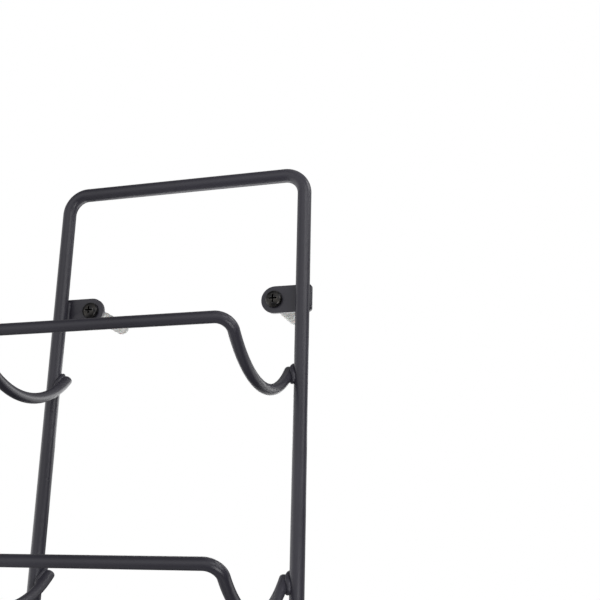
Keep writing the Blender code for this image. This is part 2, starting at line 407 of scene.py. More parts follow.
class Finish:
    """What all finishes share: a material with one shader, read from Object coordinates."""

    name = "finish"

    def material(self) -> bpy.types.Material:
        """Make the material, or take it if it is there.

        Returns:
            The material with its nodes.
        """
        made = bpy.data.materials.get(self.name)
        if made is None:
            made = bpy.data.materials.new(self.name)
            made.use_nodes = True
            bench = Bench(made.node_tree)
            shader = made.node_tree.nodes["Principled BSDF"]
            place = bench.wire("ShaderNodeTexCoord", None, None, "Object")
            for socket, value in self.surface(bench, place).items():
                bench.feed(shader.inputs[socket], value)
        return made

    def surface(self, bench: Bench, place: Wire) -> dict[str, Any]:
        """What each input of the shader gets.

        Args:
            bench: the material's nodes.
            place: Object coordinates.

        Returns:
            A value or a wire by the name of the shader's input.
        """
        raise NotImplementedError

    @staticmethod
    def blend(bench: Bench, share: Wire, first: Wire | Triple, second: Triple) -> Wire:
        """Mix two colours by a share that varies over the surface.

        Args:
            bench: the material's nodes.
            share: how much of the second colour there is.
            first: a colour, or a wire that brings one.
            second: the other colour.

        Returns:
            The mixed colour.
        """
        ground = first if isinstance(first, Wire) else (*first, 1)
        inputs = {"Factor": share, "A": ground, "B": (*second, 1)}
        return bench.wire("ShaderNodeMix", {"data_type": "RGBA"}, inputs, "Result")

    @staticmethod
    def relief(bench: Bench, height: Wire) -> Wire:
        """A bump from a height in metres."""
        inputs = {"Strength": 1.0, "Distance": 1.0, "Height": height}
        return bench.wire("ShaderNodeBump", None, inputs)


@dataclass(frozen=True)
class PowderCoat(Finish):
    """Satin charcoal powder, baked on: a soft orange peel with a fine pebble in it."""

    name: str = "satin_powder_coat"
    thin: Triple = (0.0360, 0.0343, 0.0462)
    thick: Triple = (0.0465, 0.0443, 0.0590)
    rubbed: Triple = (0.078, 0.076, 0.088)
    ior: float = 1.5
    roughness: float = 0.32
    peel_grain: float = 0.0021
    peel_depth: float = 0.00002
    peel_roughness: float = 0.10
    pebble_grain: float = 0.00036
    pebble_depth: float = 0.00005
    drift_grain: float = 0.055
    drift_span: Pair = (0.3, 0.7)
    drift_roughness: float = 0.16
    rub_span: Pair = (0.35, 0.65)
    rub_paleness: float = 0.5
    rub_polish: float = 0.08

    def surface(self, bench: Bench, place: Wire) -> dict[str, Any]:
        """Colour and gloss drift slowly; where a cradle is rubbed it is smoother and paler.

        Args:
            bench: the material's nodes.
            place: Object coordinates.

        Returns:
            A value or a wire by the name of the shader's input.
        """
        peel = bench.noise(place, self.peel_grain, detail=1.5, seed=1.0)
        pebble = bench.noise(place, self.pebble_grain, detail=1.0, seed=2.0)
        drift = bench.noise(place, self.drift_grain, detail=3.0, seed=3.0)
        patches = bench.noise(place, self.peel_grain, detail=2.0, seed=4.0)
        rub = bench.wire("ShaderNodeAttribute", {"attribute_name": "rubbed"}, None, "Fac")
        pale = rub * patches.rise(*self.rub_span) * self.rub_paleness
        coat = self.blend(bench, drift.rise(*self.drift_span), self.thin, self.thick)
        drifting = self.roughness + drift.swing(self.drift_roughness)
        uneven = drifting + peel.swing(self.peel_roughness)
        return {
            "Base Color": self.blend(bench, pale, coat, self.rubbed),
            "Roughness": uneven - rub * self.rub_polish,
            "Normal": self.relief(bench, peel * self.peel_depth + pebble * self.pebble_depth),
            "IOR": self.ior,
        }


@dataclass(frozen=True)
class BlackZinc(Finish):
    """Black zinc plating on a screw, worn bright where the driver bites.

    The wear fades out down the head's side between `wear_ends`, two shares of its height.
    """

    recess_d: float
    recess_w: float
    head_h: float
    name: str = "black_zinc_plating"
    plated: Triple = (0.035, 0.035, 0.038)
    cloudy: Triple = (0.070, 0.066, 0.060)
    bare: Triple = (0.34, 0.33, 0.315)
    roughness: float = 0.34
    cloud_grain: float = 0.0016
    cloud_span: Pair = (0.35, 0.7)
    cloud_roughness: float = 0.25
    scratch_grain: float = 0.0004
    scratch_depth: float = 0.00002
    wear: float = 0.00026
    wear_span: Pair = (0.35, 0.70)
    wear_ends: Pair = (0.8, 0.7)
    wear_roughness: float = 0.05

    def surface(self, bench: Bench, place: Wire) -> dict[str, Any]:
        """Clouds of plating, and bare metal round the recess.

        Args:
            bench: the material's nodes.
            place: Object coordinates.

        Returns:
            A value or a wire by the name of the shader's input.
        """
        cloud = bench.noise(place, self.cloud_grain, detail=3.0, seed=5.0)
        scratch = bench.noise(place, self.scratch_grain, detail=2.0, seed=6.0)
        bright = (self._rim(bench) * scratch).rise(*self.wear_span)
        plating = self.blend(bench, cloud.rise(*self.cloud_span), self.plated, self.cloudy)
        uneven = self.roughness + cloud.swing(self.cloud_roughness)
        return {
            "Base Color": self.blend(bench, bright, plating, self.bare),
            "Metallic": 1.0,
            "Roughness": uneven + bright * self.wear_roughness,
            "Normal": self.relief(bench, scratch * self.scratch_depth),
        }

    def _rim(self, bench: Bench) -> Wire:
        """How near a point of the head is to the outline of the cross recess.

        Args:
            bench: the material's nodes.

        Returns:
            1 on the outline, falling to 0 at the width of the wear and down the head's side.
        """
        place = bench.wire("ShaderNodeAttribute", {"attribute_name": "own_place"}, None, "Vector")
        x, y, z = bench.split(place)
        across, up = x.unsigned(), z.unsigned()
        lying = (across - self.recess_d / 2).at_least(up - self.recess_w / 2)
        standing = (across - self.recess_w / 2).at_least(up - self.recess_d / 2)
        rim = 1 - lying.at_most(standing).unsigned().rise(0.0, self.wear)
        start, end = (-self.head_h * share for share in self.wear_ends)
        return rim * (1 - y.rise(start, end))


@dataclass(frozen=True)
class MouldedNylon(Finish):
    """Light grey nylon of the wall plugs, slightly clouded, with a fine mould texture."""

    name: str = "moulded_nylon"
    pale: Triple = (0.48, 0.48, 0.46)
    dusty: Triple = (0.36, 0.36, 0.345)
    roughness: float = 0.52
    cloud_grain: float = 0.006
    cloud_span: Pair = (0.3, 0.75)
    cloud_roughness: float = 0.2
    mould_grain: float = 0.0003
    mould_depth: float = 0.00003
    milkiness: float = 0.12
    milk_depth: float = 0.001

    def surface(self, bench: Bench, place: Wire) -> dict[str, Any]:
        """Clouds in the colour and a mould's fine grain.

        Args:
            bench: the material's nodes.
            place: Object coordinates.

        Returns:
            A value or a wire by the name of the shader's input.
        """
        cloud = bench.noise(place, self.cloud_grain, detail=3.0, seed=7.0)
        mould = bench.noise(place, self.mould_grain, detail=1.0, seed=8.0)
        return {
            "Base Color": self.blend(bench, cloud.rise(*self.cloud_span), self.pale, self.dusty),
            "Roughness": self.roughness + cloud.swing(self.cloud_roughness),
            "Normal": self.relief(bench, mould * self.mould_depth),
            "Subsurface Weight": self.milkiness,
            "Subsurface Scale": self.milk_depth,
        }


@dataclass(frozen=True)
class PalePaper(Finish):
    """Matt pale paper for the studio floor, lit through from below like a light table."""

    name: str = "pale_paper"
    light: Triple = (0.020, 0.020, 0.020)
    shade: Triple = (0.015, 0.015, 0.015)
    roughness: float = 0.9
    glow: float = 0.84
    tone_grain: float = 0.4

    def surface(self, bench: Bench, place: Wire) -> dict[str, Any]:
        """Hardly any change of tone.

        Args:
            bench: the material's nodes.
            place: Object coordinates.

        Returns:
            A value or a wire by the name of the shader's input.
        """
        tone = bench.noise(place, self.tone_grain, detail=2.0, seed=9.0)
        return {
            "Base Color": self.blend(bench, tone, self.light, self.shade),
            "Roughness": self.roughness,
            "Specular IOR Level": 0.0,
            "Emission Color": (1.0, 1.0, 1.0, 1.0),
            "Emission Strength": self.glow,
        }


class ShapeTree(Bench):
    """A Geometry Nodes tree with named inputs that gives plain geometry in one material."""

    def __init__(self, name: str) -> None:
        """Start the tree with its geometry input, its material input and its output.

        Args:
            name: the tree's name.
        """
        super().__init__(bpy.data.node_groups.new(name, "GeometryNodeTree"))
        self.identifiers: dict[str, str] = {}
        self.entry = self.add("NodeGroupInput")
        kind = "NodeSocketGeometry"
        self.tree.interface.new_socket("Geometry", in_out="OUTPUT", socket_type=kind)
        self.start = self.take("Geometry", kind)
        self.cover = self.take("Material", "NodeSocketMaterial")

    def take(self, name: str, kind: str = "NodeSocketFloat") -> Wire:
        """Add a named input to the tree.

        Args:
            name: the input's name.
            kind: the type of its socket.

        Returns:
            Its wire inside the tree.
        """
        socket = self.tree.interface.new_socket(name, in_out="INPUT", socket_type=kind)
        self.identifiers[name] = socket.identifier
        found = next(s for s in self.entry.outputs if s.identifier == socket.identifier)
        return Wire(self, found)

    def whole(self, name: str) -> Wire:
        """Add a named input for a whole number."""
        return self.take(name, "NodeSocketInt")

    def line(self) -> Wire:
        """The edges that the tree starts from, as lines to follow."""
        return self.wire("GeometryNodeMeshToCurve", None, {"Mesh": self.start})

    def along(self, measure: str) -> Wire:
        """How far along its line a point is, as its `Factor` or its `Length`."""
        return self.wire("GeometryNodeSplineParameter", None, None, measure)

    def from_end(self) -> Wire:
        """How far along its line a point is from the nearer end, in metres."""
        passed = self.along("Length")
        return passed.at_most(self.wire("GeometryNodeSplineLength", None, None, "Length") - passed)

    def position(self) -> Wire:
        """Where a point is."""
        return self.wire("GeometryNodeInputPosition")

    def circle(self, sides: Wire | int, radius: Wire) -> Wire:
        """A round section."""
        inputs = {"Resolution": sides, "Radius": radius}
        return self.wire("GeometryNodeCurvePrimitiveCircle", None, inputs)

    def swept(self, line: Wire, section: Wire, scale: Wire) -> Wire:
        """A section carried along a line, with its ends closed."""
        inputs = {"Curve": line, "Profile Curve": section, "Scale": scale, "Fill Caps": True}
        return self.wire("GeometryNodeCurveToMesh", None, inputs)

    def marked(self, shape: Wire, name: str, value: Wire) -> Wire:
        """The same geometry with a value stored on its points."""
        inputs = {"Geometry": shape, "Name": name, "Value": value}
        return self.wire("GeometryNodeStoreNamedAttribute", None, inputs)

    def mark(self, name: str) -> Wire:
        """A value that is stored on the points."""
        return self.wire("GeometryNodeInputNamedAttribute", None, {"Name": name}, "Attribute")

    def close(self, shape: Wire) -> None:
        """End the tree in real geometry with its material.

        Args:
            shape: the geometry to give out.
        """
        real = self.wire("GeometryNodeRealizeInstances", None, {"Geometry": shape})
        inputs = {"Geometry": real, "Material": self.cover}
        self.add("NodeGroupOutput", None, {0: self.wire("GeometryNodeSetMaterial", None, inputs)})

    def grow(self, data: bpy.types.Mesh, values: dict[str, Any]) -> bpy.types.Mesh:
        """Run the tree on a mesh.

        Args:
            data: what the tree starts from.
            values: the tree's inputs by name.

        Returns:
            The result as a plain mesh.
        """
        carrier = placed("carrier", data)
        modifier = carrier.modifiers.new("shape", "NODES")
        modifier.node_group = self.tree
        for name, value in values.items():
            modifier[self.identifiers[name]] = value
        return smoothed(evaluated(carrier))


def spread(start: float, end: float, steps: int) -> list[float]:
    """Evenly spaced values from a start to an end, with both."""
    return [start + (end - start) * step / steps for step in range(steps + 1)]


def placed(name: str, data: bpy.types.ID) -> bpy.types.Object:
    """Put a new object in the scene.

    Args:
        name: its name.
        data: its mesh, lamp or lens.

    Returns:
        The object.
    """
    made = bpy.data.objects.new(name, data)
    bpy.context.scene.collection.objects.link(made)
    return made


def evaluated(carrier: bpy.types.Object) -> bpy.types.Mesh:
    """Turn an object with modifiers into a plain mesh and remove the object.

    Args:
        carrier: an object that is used for nothing else.

    Returns:
        The mesh that its modifiers give.
    """
    graph = bpy.context.evaluated_depsgraph_get()
    graph.update()
    mesh = bpy.data.meshes.new_from_object(carrier.evaluated_get(graph), depsgraph=graph)
    bpy.data.objects.remove(carrier, do_unlink=True)
    return mesh


def smoothed(mesh: bpy.types.Mesh) -> bpy.types.Mesh:
    """Shade a mesh smooth but for its sharp edges.

    Args:
        mesh: any mesh.

    Returns:
        The same mesh.
    """
    mesh.shade_smooth()
    mesh.set_sharp_from_angle(angle=SHARP_ANGLE)
    return mesh


def edged(mesh: bpy.types.Mesh, width: float, segments: int) -> bpy.types.Mesh:
    """Round the sharp edges of a mesh and keep its flat faces flat.

    Args:
        mesh: a closed mesh.
        width: how far from each edge the rounding starts.
        segments: faces across each rounding.

    Returns:
        The rounded mesh.
    """
    carrier = placed("edges", mesh)
    bevel = carrier.modifiers.new("edges", "BEVEL")
    bevel.width = width
    bevel.segments = segments
    bevel.limit_method = "ANGLE"
    bevel.angle_limit = SHARP_ANGLE
    carrier = placed("flats", smoothed(evaluated(carrier)))
    carrier.modifiers.new("flats", "WEIGHTED_NORMAL").keep_sharp = True
    return evaluated(carrier)


def line_mesh(
    points: Sequence[Vector], closed: bool = False, bends: Iterable[int] = ()
) -> bpy.types.Mesh:
    """A line for a tree to follow.

    Args:
        points: the line, point by point.
        closed: whether it returns to its start.
        bends: the numbers of the points that are rounded off.

    Returns:
        A mesh of edges, with the attribute `bend`, which is 1 where the line is rounded off.
    """
    edges = [(number, number + 1) for number in range(len(points) - 1)]
    if closed:
        edges.append((len(points) - 1, 0))
    mesh = bpy.data.meshes.new("line")
    mesh.from_pydata(points, edges, [])
    share = mesh.attributes.new("bend", "FLOAT", "POINT")
    for number in bends:
        share.data[number].value = 1.0
    return mesh


def mirrored(mesh: bpy.types.Mesh) -> bpy.types.Mesh:
    """Make the same mesh for the other side of the rack.

    Args:
        mesh: a closed mesh.

    Returns:
        Its mirror image, with its faces still pointing outwards.
    """
    twin = mesh.copy()
    twin.transform(Matrix.Diagonal((-1, 1, 1, 1)))
    twin.flip_normals()
    return twin


def turned(profile: Sequence[Pair], steps: int) -> bpy.types.Mesh:
    """A solid turned about Y.

    Args:
        profile: (radius, y) pairs that start and end on the axis.
        steps: steps in a whole turn.

    Returns:
        A closed mesh with its faces pointing outwards.
    """
    made = bmesh.new()
    rows = [made.verts.new((radius, y, 0)) for radius, y in profile]
    edges = [made.edges.new(pair) for pair in zip(rows, rows[1:])]
    bmesh.ops.spin(
        made,
        geom=rows + edges,
        axis=(0, 1, 0),
        cent=(0, 0, 0),
        angle=math.tau,
        steps=steps,
        use_merge=True,
    )
    return closed_mesh(made)


def walled(made: bmesh.types.BMesh, rings: Sequence[Sequence[bmesh.types.BMVert]]) -> None:
    """Join each ring of points to the next one by a wall of faces.

    Args:
        made: the shape that the points are in.
        rings: rings with the same number of points.
    """
    for low, high in zip(rings, rings[1:]):
        for number, vertex in enumerate(low):
            after = (number + 1) % len(low)
            made.faces.new((vertex, low[after], high[after], high[number]))


def closed_mesh(made: bmesh.types.BMesh) -> bpy.types.Mesh:
    """Merge doubles and turn the faces outwards.

    Args:
        made: a closed shape, which is used up.

    Returns:
        Its mesh.
    """
    bmesh.ops.remove_doubles(made, verts=made.verts, dist=TINY)
    bmesh.ops.recalc_face_normals(made, faces=made.faces)
    mesh = bpy.data.meshes.new("shape")
    made.to_mesh(mesh)
    made.free()
    return mesh


def cut(body: bpy.types.Mesh, tools: Sequence[bpy.types.Mesh]) -> bpy.types.Mesh:
    """Cut closed meshes from a closed mesh.

    Args:
        body: what is cut.
        tools: what is taken away.

    Returns:
        The mesh that is left.
    """
    carrier = placed("body", body)
    blades = [placed("blade", tool) for tool in tools]
    for blade in blades:
        modifier = carrier.modifiers.new("cut", "BOOLEAN")
        modifier.operation = "DIFFERENCE"
        modifier.solver = "EXACT"
        modifier.object = blade
    mesh = smoothed(evaluated(carrier))
    for blade in blades:
        bpy.data.objects.remove(blade, do_unlink=True)
    return mesh


def show(
    name: str, mesh: bpy.types.Mesh, finish: Finish, nodes: Iterable[str]
) -> None:
    """Put a finished mesh in the scene as a piece of the rack.

    Args:
        name: the piece's name.
        mesh: its mesh, already in its place.
        finish: what it is coated with.
        nodes: the solids that it stands for.
    """
    mesh.name = name
    mesh.materials.clear()
    mesh.materials.append(finish.material())
    piece = placed(name, mesh)
    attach(piece, BODY)
    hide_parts(*nodes)
    LOG.info("%s: %d faces", name, len(mesh.polygons))


@dataclass
class RodMill:
    """Bends and sweeps round rod along a line of points."""

    rub_reach: float = 0.0011
    tree: ShapeTree = field(init=False)

    def __post_init__(self) -> None:
        """Build the tree that all rods share."""
        self.tree = self._tree()

    def _tree(self) -> ShapeTree:
        """Round off the bends, sweep the section, bevel the ends and mark where it is rubbed.

        Returns:
            The tree.
        """
        tree = ShapeTree("bent_rod")
        radius = tree.take("Rod Diameter") / 2
        sides = tree.whole("Section Sides")
        bend_radius = tree.take("Bend Radius")
        bend_steps = tree.whole("Bend Steps")
        bevel = tree.take("End Bevel")
        rub_y, rub_z = tree.take("Berth Y"), tree.take("Berth Z")
        berth_r = tree.take("Berth Diameter") / 2

        corner_radius = tree.mark("bend") * bend_radius
        inputs = {"Curve": tree.line(), "Radius": corner_radius, "Count": bend_steps}
        bent = tree.wire("GeometryNodeFilletCurve", {"mode": "POLY"}, inputs)
        inset = 1 - (tree.from_end() / bevel).at_most(1)
        scale = 1 - bevel / radius * (1 - (1 - inset * inset).at_least(0).root())
        rod = tree.swept(bent, tree.circle(sides, radius), scale)

        _, y, z = tree.split(tree.position())
        reach = ((y - rub_y) ** 2 + (z - rub_z) ** 2).root()
        rub = 1 - reach.rise(berth_r, berth_r + self.rub_reach)
        tree.close(tree.marked(rod, "rubbed", rub))
        return tree

    def sweep(self, line: bpy.types.Mesh, **values: Any) -> bpy.types.Mesh:
        """Sweep a rod along a line.

        Args:
            line: the line, with its `bend` attribute.
            **values: the tree's inputs, with underscores for the spaces in their names.

        Returns:
            The rod's mesh.
        """
        named = {name.replace("_", " ").title(): value for name, value in values.items()}
        return self.tree.grow(line, named)


@dataclass
class BeadLayer:
    """Lays weld beads along lines: rows of overlapping ripples, as a welder's torch leaves them."""

    step: float = 0.00016
    sides: int = 20
    wobble: float = 0.10
    wobble_grain: float = 0.0016
    ripple_depth: float = 0.00009
    ripple_bow: float = 0.45
    fewest_ripples: int = 3
    run_out_share: float = 1.4
    tree: ShapeTree = field(init=False)

    def __post_init__(self) -> None:
        """Build the tree that all beads share."""
        self.tree = self._tree()

    def _tree(self) -> ShapeTree:
        """Sweep a bead of uneven thickness, run out its ends and press in the ripples.

        Returns:
            The tree.
        """
        tree = ShapeTree("weld_bead")
        radius = tree.take("Bead Radius")
        ripples = tree.take("Ripple Count")
        run_out = tree.take("Run Out")
        closed = tree.take("Closed")
        seed = tree.take("Seed")

        inputs = {"Curve": tree.line(), "Length": self.step}
        fine = tree.wire("GeometryNodeResampleCurve", {"mode": "LENGTH"}, inputs)
        factor = tree.along("Factor")
        rippled = tree.marked(fine, "ripple", factor * ripples)
        end_share = 1 - (tree.from_end() / run_out + closed).at_most(1)
        uneven = tree.noise(tree.position(), self.wobble_grain, detail=1.0, seed=seed)
        scale = (1 - end_share * end_share).root() * (1 + uneven.swing(2 * self.wobble))
        section = tree.marked(tree.circle(self.sides, radius), "around", factor * math.tau)
        inputs = {"Geometry": tree.swept(rippled, section, scale), "Distance": 2 * TINY}
        sound = tree.wire("GeometryNodeMergeByDistance", None, inputs)

        bowed = tree.mark("ripple") + self.ripple_bow * tree.mark("around").cosine()
        crest = (bowed.fraction() * math.pi).sine()
        normal = tree.wire("GeometryNodeInputNormal", None, None, "Normal")
        inputs = {0: normal, "Scale": (crest - 1) * self.ripple_depth}
        press = tree.wire("ShaderNodeVectorMath", {"operation": "SCALE"}, inputs)
        tree.close(tree.wire("GeometryNodeSetPosition", None, {"Geometry": sound, "Offset": press}))
        return tree

    def lay(
        self, line: Sequence[Vector], radius: float, pitch: float, closed: bool, seed: float
    ) -> bpy.types.Mesh:
        """Lay one bead along a line.

        Args:
            line: the bead's middle, point by point.
            radius: half of the bead's thickness.
            pitch: the distance between ripples, about.
            closed: whether the line returns to its start.
            seed: which unevenness it has.

        Returns:
            The bead's mesh.
        """
        path = [*line, line[0]] if closed else line
        length = sum((b - a).length for a, b in zip(path, path[1:]))
        values = {
            "Bead Radius": radius,
            "Ripple Count": float(max(self.fewest_ripples, round(length / pitch))),
            "Run Out": radius * self.run_out_share,
            "Closed": float(closed),
            "Seed": seed,
        }
        return self.tree.grow(line_mesh(line, closed), values)


@dataclass
class BackFrame:
    """The closed frame of thick rod, and the weld that closes it."""

    sizes: RackSizes
    bend_r: float = 0.012
    top_bar_above_berth: float = 0.094
    bottom_bar_below_berth: float = 0.060
    sides: int = 48
    bend_steps: int = 24
    seam_bead_r: float = 0.0008
    seam_width_share: float = 1.9
    seam_pitch: float = 0.0011
    seam_points: int = 48
    seam_seed: float = 1.0

    @property
    def top_z(self) -> float:
        """Height of the top bar's axis."""
        return self.sizes.berth_z(0) + self.top_bar_above_berth

    @property
    def bottom_z(self) -> float:
        """Height of the lower bar's axis."""
        return self.sizes.berth_z(self.sizes.tiers - 1) - self.bottom_bar_below_berth

    def build(self, mill: RodMill, layer: BeadLayer, coat: Finish) -> None:
        """Sweep the frame rod and lay the ring bead round its seam.

        Args:
            mill: sweeps the rod.
            layer: lays the bead.
            coat: the finish of both.
        """
        x, y = self.sizes.upright_x, self.sizes.frame_y
        seam = Vector((0, y, self.bottom_z))
        corners = [
            Vector((x, y, self.bottom_z)),
            Vector((x, y, self.top_z)),
            Vector((-x, y, self.top_z)),
            Vector((-x, y, self.bottom_z)),
        ]
        bends = range(1, len(corners) + 1)
        rod = mill.sweep(
            line_mesh([seam, *corners], closed=True, bends=bends),
            rod_diameter=self.sizes.frame_rod_d,
            section_sides=self.sides,
            bend_radius=self.bend_r,
            bend_steps=self.bend_steps,
        )
        show("frame_rod", rod, coat, ["back_frame"])
        show("frame_seam_bead", self._seam(layer), coat, ["frame_seam_weld"])

    def _seam(self, layer: BeadLayer) -> bpy.types.Mesh:
        """Lay a low ring bead round the rod, wider than it is high.

        Args:
            layer: lays the bead.

        Returns:
            The bead's mesh in its place.
        """
        ring_r = self.sizes.frame_rod_d / 2
        turns = spread(0, math.tau, self.seam_points)[:-1]
        ring = [Vector((0, ring_r * math.cos(a), ring_r * math.sin(a))) for a in turns]
        mesh = layer.lay(ring, self.seam_bead_r, self.seam_pitch, True, self.seam_seed)
        mesh.transform(Matrix.Diagonal((self.seam_width_share, 1, 1, 1)))
        mesh.transform(Matrix.Translation((0, self.sizes.frame_y, self.bottom_z)))
        return mesh


@dataclass
class Cradle:
    """One tier: a rod bent round its berth, and the beads that hold it to the uprights."""

    sizes: RackSizes
    tier: int
    front_bar_out: float = 0.051
    bend_r: float = 0.008
    tail: float = 0.0025
    end_bevel: float = 0.0006
    sides: int = 40
    arm_steps: int = 72
    bend_steps: int = 20
    bevel_steps: int = 5
    bead_r: float = 0.0015
    bead_gap: float = 0.0016
    bead_points: int = 72
    bead_pitch: float = 0.0010
    groove_reach: float = 0.05
    halvings: int = 40

    @property
    def front_angle(self) -> float:
        """Turn of the arc from its lowest point to the start of the front bend."""
        reach = math.hypot(self.sizes.arm_arc_r, self.bend_r)
        return math.asin(self.front_bar_out / reach) - math.atan2(self.bend_r, self.sizes.arm_arc_r)

    @property
    def tail_angle(self) -> float:
        """Turn of the arc from its lowest point to the tail."""
        return math.asin((self.sizes.berth_out + self.tail) / self.sizes.arm_arc_r)

    @property
    def weld_angle(self) -> float:
        """Turn of the arc from its lowest point to where the arm crosses the upright."""
        return math.asin(self.sizes.berth_out / self.sizes.arm_arc_r)

    def build(self, mill: RodMill, layer: BeadLayer, coat: Finish) -> None:
        """Sweep the cradle rod and lay a bead round each crossing.

        Args:
            mill: sweeps the rod.
            layer: lays the beads.
            coat: the finish of all.
        """
        number = self.tier + 1
        line, corners = self._line()
        rod = mill.sweep(
            line_mesh(line, bends=corners),
            rod_diameter=self.sizes.cradle_rod_d,
            section_sides=self.sides,
            bend_radius=self.bend_r,
            bend_steps=self.bend_steps,
            end_bevel=self.end_bevel,
            berth_y=self.sizes.berth_y,
            berth_z=self.sizes.berth_z(self.tier),
            berth_diameter=self.sizes.berth_d,
        )
        show(f"cradle_rod_{number}", rod, coat, [f"cradle_{number}"])
        for side in Side:
            seed = 10.0 * number + side.value
            loop = layer.lay(self._loop(), self.bead_r, self.bead_pitch, True, seed)
            bead = loop if side is Side.RIGHT else mirrored(loop)
            node = f"cradle_{number}_weld_{side.word}"
            show(f"cradle_bead_{number}_{side.word}", bead, coat, [node])

    def _line(self) -> tuple[list[Vector], list[int]]:
        """The rod's line with its two front corners still sharp.

        Returns:
            The points from tail to tail, and the numbers of the corners among them.
        """
        bevel_turn = self.end_bevel / self.sizes.arm_arc_r
        shares = [(step / self.bevel_steps) ** 2 for step in range(self.bevel_steps)]
        angles = [bevel_turn * share - self.tail_angle for share in shares]
        angles += spread(bevel_turn - self.tail_angle, self.front_angle, self.arm_steps)
        arm = [self.sizes.arm_point(angle, self.tier) for angle in angles]
        forwards = Vector((0, -math.cos(self.front_angle), math.sin(self.front_angle)))
        half = [*arm[:-1], arm[-1] + self.bend_r * forwards]
        other = [Vector((-point.x, point.y, point.z)) for point in reversed(half)]
        return half + other, [len(half) - 1, len(half)]

    def _loop(self) -> list[Vector]:
        """The groove round the right crossing, where both rods are equally far from the bead.

        Returns:
            The bead's middle, point by point.
        """
        contact = self.sizes.arm_point(-self.weld_angle, self.tier)
        contact.x = self.sizes.upright_x - self.sizes.frame_rod_d / 2 - self.sizes.touch / 2
        turns = spread(0, math.tau, self.bead_points)[:-1]
        return [self._groove(contact, turn) for turn in turns]

    def _groove(self, contact: Vector, turn: float) -> Vector:
        """The groove's point in one direction from the contact, found by halving a distance.

        Args:
            contact: where the rods press on each other.
            turn: the direction in the plane between the rods.

        Returns:
            The point in the rack's frame.
        """
        way = Vector((0, math.cos(turn), math.sin(turn)))
        across_upright = abs(way.y)
        arm_way = Vector((0, math.cos(self.weld_angle), math.sin(self.weld_angle)))
        across_arm = abs(way.y * arm_way.z - way.z * arm_way.y)
        low, high = 0.0, self.groove_reach
        for _ in range(self.halvings):
            reach = (low + high) / 2
            gaps = (
                self._fall(reach * across_upright, self.sizes.frame_rod_d / 2),
                self._fall(reach * across_arm, self.sizes.cradle_rod_d / 2),
            )
            low, high = (reach, high) if sum(gaps) < self.bead_gap else (low, reach)
        return contact + reach * way + Vector(((gaps[0] - gaps[1]) / 2, 0, 0))

    @staticmethod
    def _fall(offset: float, radius: float) -> float:
        """How far a round rod falls back from its tangent plane, at a distance from its axis."""
        return radius - math.sqrt(max(radius * radius - offset * offset, 0))


